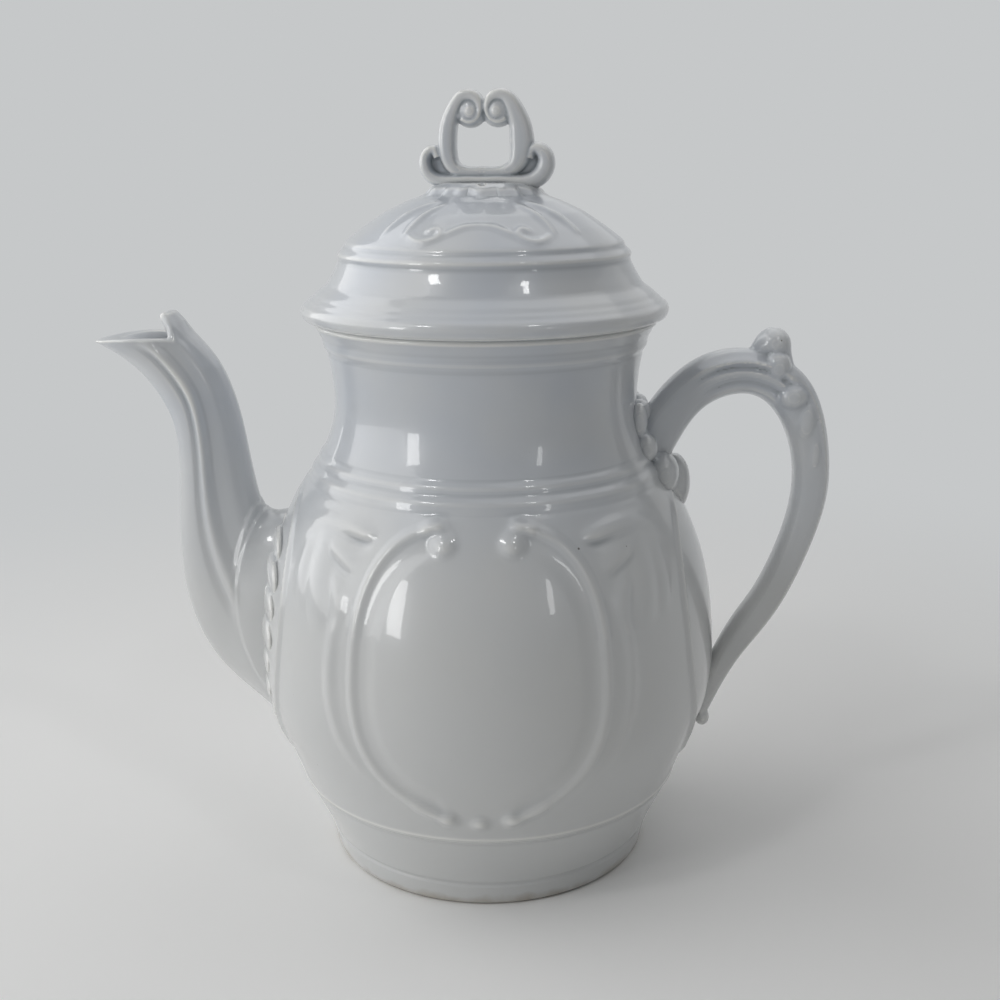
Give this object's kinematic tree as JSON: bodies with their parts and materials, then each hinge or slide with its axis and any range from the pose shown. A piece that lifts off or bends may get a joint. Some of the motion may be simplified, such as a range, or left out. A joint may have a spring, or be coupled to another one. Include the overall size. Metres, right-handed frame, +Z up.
{
  "type": "teapot",
  "caption": "Tall white glazed ironstone teapot with relief medallions, curved spout, looped handle and a lift-off domed lid with an open scroll finial.",
  "frame": {"origin": "on the table under the middle of the whole part's bounding box; the pot's own turned axis stands 6.92 mm towards +X", "axes": "+Z up along the pot's axis, +X towards the handle, -X towards the spout, -Y towards the viewer and the front medallion"},
  "size_m": [0.2298, 0.147, 0.2404],
  "materials": {
    "glaze": "thick pale blue-grey glaze on white ironstone, glossy and slightly pooled in the hollows"
  },
  "bodies": {
    "pot": {"pot_body": "glaze", "pot_neck": "glaze", "foot_base": "glaze", "spout": "glaze", "handle": "glaze", "handle_upper_leaf": "glaze"},
    "lid": {"lid_dome": "glaze", "lid_flange": "glaze", "lid_finial": "glaze"}
  },
  "joints": [
    {"name": "lid_lift", "type": "slide", "parent": "pot", "child": "lid", "axis": [0, 0, 1], "range_m": [0, 0.08]}
  ]
}
